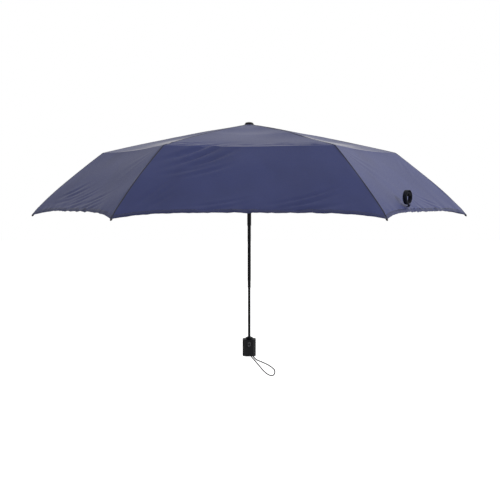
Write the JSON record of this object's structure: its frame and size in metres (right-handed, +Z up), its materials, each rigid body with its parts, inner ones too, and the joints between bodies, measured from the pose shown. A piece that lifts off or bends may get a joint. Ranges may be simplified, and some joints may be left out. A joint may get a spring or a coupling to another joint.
{
  "type": "folding umbrella",
  "caption": "Compact folding umbrella with a hexagonal domed canopy, jointed folding ribs, telescopic shaft and push-button handle with a wrist cord.",
  "frame": {"origin": "centre of the flat top of the crown cap, where the shaft axis leaves the umbrella", "axes": "+Z up along the shaft, out of the crown cap; +X along rib 1, the widest direction across two opposite rib tips; -Y out of the release button's side"},
  "size_m": [0.9794, 0.8484, 0.5721],
  "materials": {
    "rib_steel": "zinc-plated steel channel, satin",
    "tip_rib_black": "black enamelled, satin",
    "shaft_black": "black enamelled tube, semi-gloss",
    "spring_steel": "bright drawn wire",
    "black_plastic": "moulded, fine satin texture",
    "button_plastic": "moulded, polished edge",
    "grey_plastic": "moulded, unfinished inside part",
    "canopy_fabric": "navy pongee, water-repellent, slight sheen",
    "strap_fabric": "dark navy ribbon, stitched",
    "cord": "braided black cord"
  },
  "bodies": {
    "handle": {"handle_shell": "black_plastic", "handle_collar": "black_plastic", "handle_end_cap": "black_plastic", "shaft_socket": "grey_plastic", "shaft_lower_tube": "shaft_black", "shaft_spring": "spring_steel", "button_bezel": "button_plastic", "button_spring": "spring_steel", "cord_pin": "spring_steel"},
    "middle_shaft": {"shaft_middle_tube": "shaft_black"},
    "canopy_hub": {"shaft_upper_tube": "shaft_black", "crown": "black_plastic", "crown_cap": "black_plastic", "crown_washer": "black_plastic", "crown_wire": "spring_steel", "canopy": "canopy_fabric", "closure_strap": "strap_fabric", "strap_fastener": "black_plastic"},
    "runner": {"runner": "black_plastic", "runner_wire": "spring_steel"},
    "button": {"release_button": "button_plastic", "release_latch": "spring_steel"},
    "wrist_loop": {"wrist_cord": "cord"},
    "top_rib_1": {"top_rib_1": "rib_steel"},
    "stretcher_1": {"stretcher_1": "rib_steel"},
    "middle_rib_1": {"middle_rib_1": "rib_steel"},
    "drive_link_1": {"drive_link_1": "rib_steel"},
    "fold_wire_1": {"fold_wire_1": "rib_steel"},
    "tip_rib_1": {"tip_rib_1": "tip_rib_black"},
    "top_rib_2": {"top_rib_2": "rib_steel"},
    "stretcher_2": {"stretcher_2": "rib_steel"},
    "middle_rib_2": {"middle_rib_2": "rib_steel"},
    "drive_link_2": {"drive_link_2": "rib_steel"},
    "fold_wire_2": {"fold_wire_2": "rib_steel"},
    "tip_rib_2": {"tip_rib_2": "tip_rib_black"},
    "top_rib_3": {"top_rib_3": "rib_steel"},
    "stretcher_3": {"stretcher_3": "rib_steel"},
    "middle_rib_3": {"middle_rib_3": "rib_steel"},
    "drive_link_3": {"drive_link_3": "rib_steel"},
    "fold_wire_3": {"fold_wire_3": "rib_steel"},
    "tip_rib_3": {"tip_rib_3": "tip_rib_black"},
    "top_rib_4": {"top_rib_4": "rib_steel"},
    "stretcher_4": {"stretcher_4": "rib_steel"},
    "middle_rib_4": {"middle_rib_4": "rib_steel"},
    "drive_link_4": {"drive_link_4": "rib_steel"},
    "fold_wire_4": {"fold_wire_4": "rib_steel"},
    "tip_rib_4": {"tip_rib_4": "tip_rib_black"},
    "top_rib_5": {"top_rib_5": "rib_steel"},
    "stretcher_5": {"stretcher_5": "rib_steel"},
    "middle_rib_5": {"middle_rib_5": "rib_steel"},
    "drive_link_5": {"drive_link_5": "rib_steel"},
    "fold_wire_5": {"fold_wire_5": "rib_steel"},
    "tip_rib_5": {"tip_rib_5": "tip_rib_black"},
    "top_rib_6": {"top_rib_6": "rib_steel"},
    "stretcher_6": {"stretcher_6": "rib_steel"},
    "middle_rib_6": {"middle_rib_6": "rib_steel"},
    "drive_link_6": {"drive_link_6": "rib_steel"},
    "fold_wire_6": {"fold_wire_6": "rib_steel"},
    "tip_rib_6": {"tip_rib_6": "tip_rib_black"}
  },
  "joints": [
    {"name": "lower_shaft_slide", "type": "slide", "parent": "handle", "child": "middle_shaft", "axis": [0, 0, -1], "range_m": [0, 0.105]},
    {"name": "upper_shaft_slide", "type": "slide", "parent": "middle_shaft", "child": "canopy_hub", "axis": [0, 0, -1], "range_m": [0, 0.14]},
    {"name": "button_press", "type": "slide", "parent": "handle", "child": "button", "axis": [0, 1, 0], "range_m": [0, 0.0018], "deforming": ["button_spring"]},
    {"name": "wrist_loop_swing", "type": "hinge", "parent": "handle", "child": "wrist_loop", "pos_m": [0.006, 0, -0.5156], "axis": [0, 1, 0], "range_deg": [-12, 12], "deforming": ["wrist_cord"]},
    {"name": "canopy_fold", "type": "hinge", "parent": "canopy_hub", "child": "top_rib_1", "pos_m": [0.0085, 0, -0.009], "axis": [0, 1, 0], "range_deg": [0, 78.2], "deforming": ["canopy", "closure_strap", "strap_fastener"]},
    {"name": "stretcher_1_swing", "type": "hinge", "parent": "top_rib_1", "child": "stretcher_1", "pos_m": [0.10498, 0, -0.02619], "axis": [0, 1, 0], "range_deg": [-156.91, 0.2]},
    {"name": "middle_rib_1_fold", "type": "hinge", "parent": "top_rib_1", "child": "middle_rib_1", "pos_m": [0.16799, 0, -0.03741], "axis": [0, 1, 0], "range_deg": [-178.96, 0.2]},
    {"name": "drive_link_1_swing", "type": "hinge", "parent": "stretcher_1", "child": "drive_link_1", "pos_m": [0.09907, 0, -0.02724], "axis": [0, 1, 0], "range_deg": [-0.2, 155.83]},
    {"name": "fold_wire_1_swing", "type": "hinge", "parent": "top_rib_1", "child": "fold_wire_1", "pos_m": [0.16208, 0, -0.03636], "axis": [0, 1, 0], "range_deg": [-180.95, 0.2]},
    {"name": "tip_rib_1_fold", "type": "hinge", "parent": "middle_rib_1", "child": "tip_rib_1", "pos_m": [0.32633, 0, -0.07164], "axis": [0, 1, 0], "range_deg": [-0.2, 150.4]},
    {"name": "top_rib_2_fold", "type": "hinge", "parent": "canopy_hub", "child": "top_rib_2", "pos_m": [0.00425, 0.00736, -0.009], "axis": [-0.866, 0.5, 0], "range_deg": [-0.2, 78.56]},
    {"name": "stretcher_2_swing", "type": "hinge", "parent": "top_rib_2", "child": "stretcher_2", "pos_m": [0.05249, 0.09092, -0.02619], "axis": [-0.866, 0.5, 0], "range_deg": [-156.91, 0.2]},
    {"name": "middle_rib_2_fold", "type": "hinge", "parent": "top_rib_2", "child": "middle_rib_2", "pos_m": [0.08399, 0.14548, -0.03741], "axis": [-0.866, 0.5, 0], "range_deg": [-178.96, 0.2]},
    {"name": "drive_link_2_swing", "type": "hinge", "parent": "stretcher_2", "child": "drive_link_2", "pos_m": [0.04954, 0.0858, -0.02724], "axis": [-0.866, 0.5, 0], "range_deg": [-0.2, 155.83]},
    {"name": "fold_wire_2_swing", "type": "hinge", "parent": "top_rib_2", "child": "fold_wire_2", "pos_m": [0.08104, 0.14037, -0.03636], "axis": [-0.866, 0.5, 0], "range_deg": [-180.95, 0.2]},
    {"name": "tip_rib_2_fold", "type": "hinge", "parent": "middle_rib_2", "child": "tip_rib_2", "pos_m": [0.16317, 0.28261, -0.07164], "axis": [-0.866, 0.5, 0], "range_deg": [-0.2, 150.4]},
    {"name": "top_rib_3_fold", "type": "hinge", "parent": "canopy_hub", "child": "top_rib_3", "pos_m": [-0.00425, 0.00736, -0.009], "axis": [-0.866, -0.5, 0], "range_deg": [-0.2, 78.56]},
    {"name": "stretcher_3_swing", "type": "hinge", "parent": "top_rib_3", "child": "stretcher_3", "pos_m": [-0.05249, 0.09092, -0.02619], "axis": [-0.866, -0.5, 0], "range_deg": [-156.91, 0.2]},
    {"name": "middle_rib_3_fold", "type": "hinge", "parent": "top_rib_3", "child": "middle_rib_3", "pos_m": [-0.08399, 0.14548, -0.03741], "axis": [-0.866, -0.5, 0], "range_deg": [-178.96, 0.2]},
    {"name": "drive_link_3_swing", "type": "hinge", "parent": "stretcher_3", "child": "drive_link_3", "pos_m": [-0.04954, 0.0858, -0.02724], "axis": [-0.866, -0.5, 0], "range_deg": [-0.2, 155.83]},
    {"name": "fold_wire_3_swing", "type": "hinge", "parent": "top_rib_3", "child": "fold_wire_3", "pos_m": [-0.08104, 0.14037, -0.03636], "axis": [-0.866, -0.5, 0], "range_deg": [-180.95, 0.2]},
    {"name": "tip_rib_3_fold", "type": "hinge", "parent": "middle_rib_3", "child": "tip_rib_3", "pos_m": [-0.16317, 0.28261, -0.07164], "axis": [-0.866, -0.5, 0], "range_deg": [-0.2, 150.4]},
    {"name": "top_rib_4_fold", "type": "hinge", "parent": "canopy_hub", "child": "top_rib_4", "pos_m": [-0.0085, 0, -0.009], "axis": [0, -1, 0], "range_deg": [-0.2, 78.56]},
    {"name": "stretcher_4_swing", "type": "hinge", "parent": "top_rib_4", "child": "stretcher_4", "pos_m": [-0.10498, 0, -0.02619], "axis": [0, -1, 0], "range_deg": [-156.91, 0.2]},
    {"name": "middle_rib_4_fold", "type": "hinge", "parent": "top_rib_4", "child": "middle_rib_4", "pos_m": [-0.16799, 0, -0.03741], "axis": [0, -1, 0], "range_deg": [-178.96, 0.2]},
    {"name": "drive_link_4_swing", "type": "hinge", "parent": "stretcher_4", "child": "drive_link_4", "pos_m": [-0.09907, 0, -0.02724], "axis": [0, -1, 0], "range_deg": [-0.2, 155.83]},
    {"name": "fold_wire_4_swing", "type": "hinge", "parent": "top_rib_4", "child": "fold_wire_4", "pos_m": [-0.16208, 0, -0.03636], "axis": [0, -1, 0], "range_deg": [-180.95, 0.2]},
    {"name": "tip_rib_4_fold", "type": "hinge", "parent": "middle_rib_4", "child": "tip_rib_4", "pos_m": [-0.32633, 0, -0.07164], "axis": [0, -1, 0], "range_deg": [-0.2, 150.4]},
    {"name": "top_rib_5_fold", "type": "hinge", "parent": "canopy_hub", "child": "top_rib_5", "pos_m": [-0.00425, -0.00736, -0.009], "axis": [0.866, -0.5, 0], "range_deg": [-0.2, 78.56]},
    {"name": "stretcher_5_swing", "type": "hinge", "parent": "top_rib_5", "child": "stretcher_5", "pos_m": [-0.05249, -0.09092, -0.02619], "axis": [0.866, -0.5, 0], "range_deg": [-156.91, 0.2]},
    {"name": "middle_rib_5_fold", "type": "hinge", "parent": "top_rib_5", "child": "middle_rib_5", "pos_m": [-0.08399, -0.14548, -0.03741], "axis": [0.866, -0.5, 0], "range_deg": [-178.96, 0.2]},
    {"name": "drive_link_5_swing", "type": "hinge", "parent": "stretcher_5", "child": "drive_link_5", "pos_m": [-0.04954, -0.0858, -0.02724], "axis": [0.866, -0.5, 0], "range_deg": [-0.2, 155.83]},
    {"name": "fold_wire_5_swing", "type": "hinge", "parent": "top_rib_5", "child": "fold_wire_5", "pos_m": [-0.08104, -0.14037, -0.03636], "axis": [0.866, -0.5, 0], "range_deg": [-180.95, 0.2]},
    {"name": "tip_rib_5_fold", "type": "hinge", "parent": "middle_rib_5", "child": "tip_rib_5", "pos_m": [-0.16317, -0.28261, -0.07164], "axis": [0.866, -0.5, 0], "range_deg": [-0.2, 150.4]},
    {"name": "top_rib_6_fold", "type": "hinge", "parent": "canopy_hub", "child": "top_rib_6", "pos_m": [0.00425, -0.00736, -0.009], "axis": [0.866, 0.5, 0], "range_deg": [-0.2, 78.56]},
    {"name": "stretcher_6_swing", "type": "hinge", "parent": "top_rib_6", "child": "stretcher_6", "pos_m": [0.05249, -0.09092, -0.02619], "axis": [0.866, 0.5, 0], "range_deg": [-156.91, 0.2]},
    {"name": "middle_rib_6_fold", "type": "hinge", "parent": "top_rib_6", "child": "middle_rib_6", "pos_m": [0.08399, -0.14548, -0.03741], "axis": [0.866, 0.5, 0], "range_deg": [-178.96, 0.2]},
    {"name": "drive_link_6_swing", "type": "hinge", "parent": "stretcher_6", "child": "drive_link_6", "pos_m": [0.04954, -0.0858, -0.02724], "axis": [0.866, 0.5, 0], "range_deg": [-0.2, 155.83]},
    {"name": "fold_wire_6_swing", "type": "hinge", "parent": "top_rib_6", "child": "fold_wire_6", "pos_m": [0.08104, -0.14037, -0.03636], "axis": [0.866, 0.5, 0], "range_deg": [-180.95, 0.2]},
    {"name": "tip_rib_6_fold", "type": "hinge", "parent": "middle_rib_6", "child": "tip_rib_6", "pos_m": [0.16317, -0.28261, -0.07164], "axis": [0.866, 0.5, 0], "range_deg": [-0.2, 150.4]},
    {"name": "runner_travel", "type": "hinge", "parent": "stretcher_1", "child": "runner", "pos_m": [0.0085, 0, -0.04337], "axis": [0, 1, 0], "range_deg": [-0.2, 78.56]}
  ],
  "couplings": [
    {"joint": "stretcher_1_swing", "follows": "canopy_fold", "ratio": -2},
    {"joint": "middle_rib_1_fold", "follows": "canopy_fold", "ratio": -2.2813},
    {"joint": "drive_link_1_swing", "follows": "canopy_fold", "ratio": 1.9861},
    {"joint": "fold_wire_1_swing", "follows": "canopy_fold", "ratio": -2.3067},
    {"joint": "tip_rib_1_fold", "follows": "canopy_fold", "ratio": 1.9168},
    {"joint": "top_rib_2_fold", "follows": "canopy_fold", "ratio": 1},
    {"joint": "stretcher_2_swing", "follows": "canopy_fold", "ratio": -2},
    {"joint": "middle_rib_2_fold", "follows": "canopy_fold", "ratio": -2.2813},
    {"joint": "drive_link_2_swing", "follows": "canopy_fold", "ratio": 1.9861},
    {"joint": "fold_wire_2_swing", "follows": "canopy_fold", "ratio": -2.3067},
    {"joint": "tip_rib_2_fold", "follows": "canopy_fold", "ratio": 1.9168},
    {"joint": "top_rib_3_fold", "follows": "canopy_fold", "ratio": 1},
    {"joint": "stretcher_3_swing", "follows": "canopy_fold", "ratio": -2},
    {"joint": "middle_rib_3_fold", "follows": "canopy_fold", "ratio": -2.2813},
    {"joint": "drive_link_3_swing", "follows": "canopy_fold", "ratio": 1.9861},
    {"joint": "fold_wire_3_swing", "follows": "canopy_fold", "ratio": -2.3067},
    {"joint": "tip_rib_3_fold", "follows": "canopy_fold", "ratio": 1.9168},
    {"joint": "top_rib_4_fold", "follows": "canopy_fold", "ratio": 1},
    {"joint": "stretcher_4_swing", "follows": "canopy_fold", "ratio": -2},
    {"joint": "middle_rib_4_fold", "follows": "canopy_fold", "ratio": -2.2813},
    {"joint": "drive_link_4_swing", "follows": "canopy_fold", "ratio": 1.9861},
    {"joint": "fold_wire_4_swing", "follows": "canopy_fold", "ratio": -2.3067},
    {"joint": "tip_rib_4_fold", "follows": "canopy_fold", "ratio": 1.9168},
    {"joint": "top_rib_5_fold", "follows": "canopy_fold", "ratio": 1},
    {"joint": "stretcher_5_swing", "follows": "canopy_fold", "ratio": -2},
    {"joint": "middle_rib_5_fold", "follows": "canopy_fold", "ratio": -2.2813},
    {"joint": "drive_link_5_swing", "follows": "canopy_fold", "ratio": 1.9861},
    {"joint": "fold_wire_5_swing", "follows": "canopy_fold", "ratio": -2.3067},
    {"joint": "tip_rib_5_fold", "follows": "canopy_fold", "ratio": 1.9168},
    {"joint": "top_rib_6_fold", "follows": "canopy_fold", "ratio": 1},
    {"joint": "stretcher_6_swing", "follows": "canopy_fold", "ratio": -2},
    {"joint": "middle_rib_6_fold", "follows": "canopy_fold", "ratio": -2.2813},
    {"joint": "drive_link_6_swing", "follows": "canopy_fold", "ratio": 1.9861},
    {"joint": "fold_wire_6_swing", "follows": "canopy_fold", "ratio": -2.3067},
    {"joint": "tip_rib_6_fold", "follows": "canopy_fold", "ratio": 1.9168},
    {"joint": "runner_travel", "follows": "canopy_fold", "ratio": 1}
  ]
}
